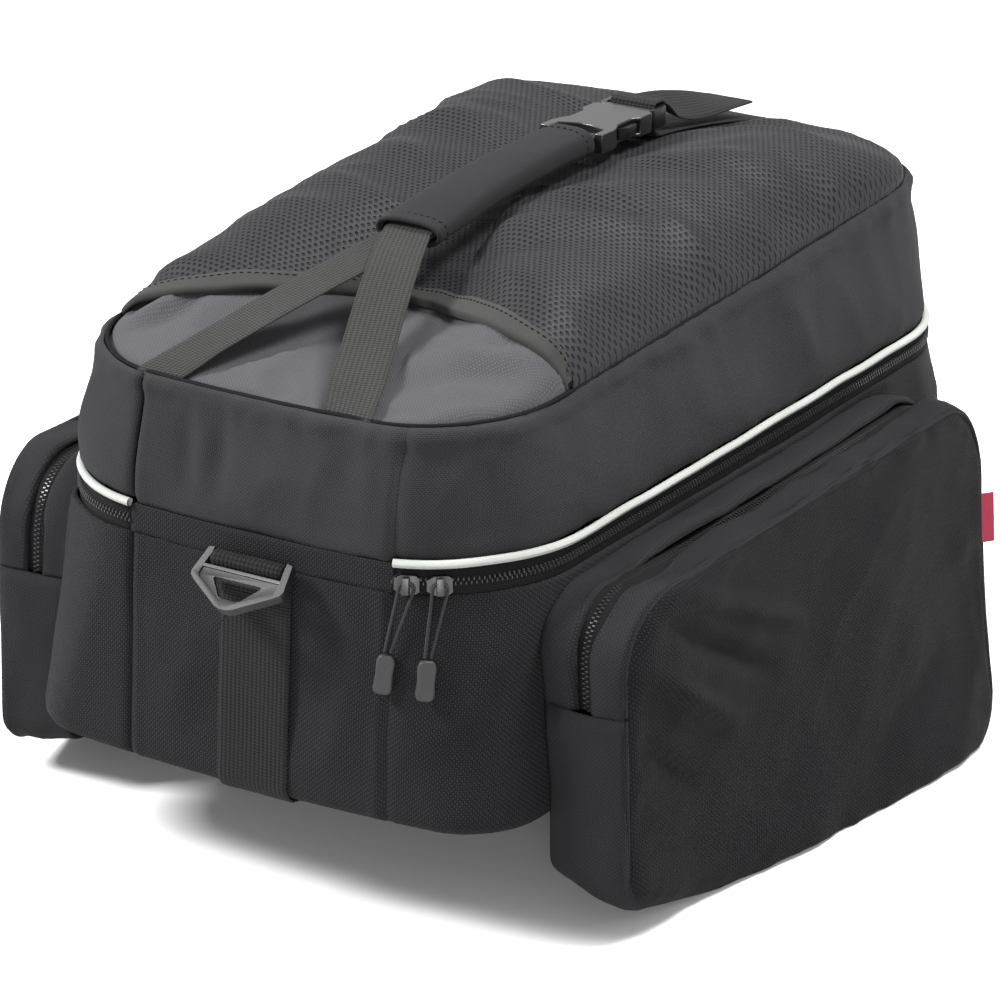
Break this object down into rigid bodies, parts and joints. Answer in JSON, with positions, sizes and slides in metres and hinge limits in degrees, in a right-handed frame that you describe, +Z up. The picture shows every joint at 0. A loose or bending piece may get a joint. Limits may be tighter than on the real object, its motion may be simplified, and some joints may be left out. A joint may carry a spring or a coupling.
{
  "type": "bicycle trunk bag",
  "caption": "Zipped bicycle trunk bag with a crowned lid, a top mesh pocket, hanging side pockets, a sleeved buckled handle and a strap with a swinging ring",
  "frame": {"origin": "middle of the bag's footprint at the ground that the side pockets stand on", "axes": "+Z up, +Y along the bag's length away from the ring strap, +X to the side of the pocket that the picture shows in full"},
  "size_m": [0.4172, 0.4982, 0.2935],
  "materials": {
    "black_nylon": "coarse black ballistic nylon, matt with a slight sheen",
    "grey_cloth": "fine charcoal grey woven cloth, matt",
    "mesh_cloth": "black knitted mesh with elongated holes",
    "sleeve_neoprene": "smooth charcoal neoprene",
    "olive_webbing": "grey olive flat webbing, ribbed",
    "dark_webbing": "dark grey flat webbing, ribbed",
    "reflective_piping": "pale reflective piping, smooth",
    "zip_tape": "black zip tape with plastic coil teeth",
    "grey_plastic": "moulded light grey satin plastic",
    "black_plastic": "moulded black plastic, half gloss",
    "grey_cord": "thin braided grey cord",
    "grey_rubber": "moulded grey rubber, matt",
    "crimson_tab": "plain crimson woven tab"
  },
  "bodies": {
    "bag": {"buckle_female": "black_plastic", "buckle_male": "black_plastic", "handle_sleeve": "sleeve_neoprene", "lid_shell": "grey_cloth", "lower_tub": "black_nylon", "mesh_binding": "grey_cloth", "mesh_panel": "mesh_cloth", "piping_main": "reflective_piping", "pocket_left": "black_nylon", "pocket_right": "black_nylon", "pocket_zip_left": "zip_tape", "pocket_zip_right": "zip_tape", "pull_cord_left": "grey_cord", "pull_cord_right": "grey_cord", "pull_tab_left": "grey_rubber", "pull_tab_right": "grey_rubber", "rear_strap": "dark_webbing", "ring_strap": "dark_webbing", "side_label": "crimson_tab", "slider_left": "black_plastic", "slider_right": "black_plastic", "v_strap_left": "olive_webbing", "v_strap_right": "olive_webbing", "zip_tape_main": "zip_tape"},
    "ring": {"ring": "grey_plastic"}
  },
  "joints": [
    {"name": "ring_swing", "type": "hinge", "parent": "bag", "child": "ring", "pos_m": [0.008, -0.22764, 0.1637], "axis": [-1, 0, 0], "range_deg": [-25, 90]}
  ]
}
